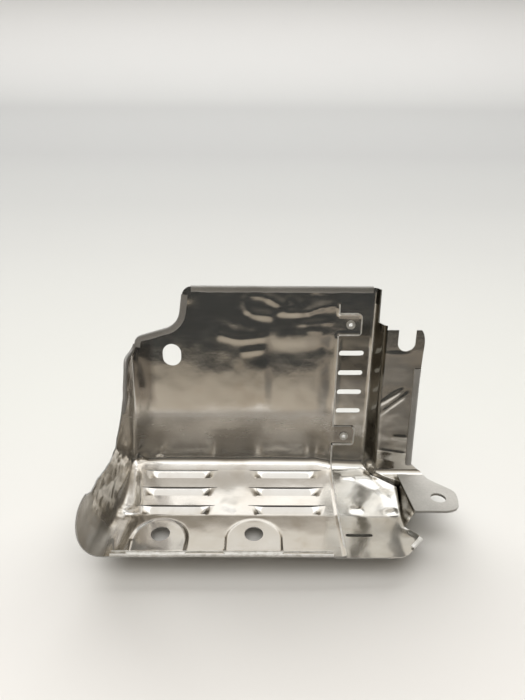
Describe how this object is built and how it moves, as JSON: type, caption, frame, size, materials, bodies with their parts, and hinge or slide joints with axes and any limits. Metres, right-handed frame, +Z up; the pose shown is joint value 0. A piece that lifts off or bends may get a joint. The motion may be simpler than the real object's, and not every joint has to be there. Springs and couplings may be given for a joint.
{
  "type": "heat shield",
  "caption": "Pressed sheet-metal heat shield: leaning back wall, louvred floor with screw pads, flared side and a riveted end panel with bracket and tab.",
  "frame": {"origin": "centre of the left screw pad's hole, on the pad's upper face", "axes": "+X to the right along the trough, +Y away from the open front towards the back wall, +Z up as the shield lies on its louvres"},
  "size_m": [0.2163, 0.109, 0.1219],
  "materials": {
    "polished_sheet": "bright rolled sheet, creased and lightly marked",
    "end_sheet": "bright rolled sheet, crumpled",
    "rivet_metal": "plain bright"
  },
  "bodies": {
    "root": {"trough_shell": "polished_sheet", "end_panel": "end_sheet", "upper_rivet": "rivet_metal", "lower_rivet": "rivet_metal"}
  },
  "joints": []
}
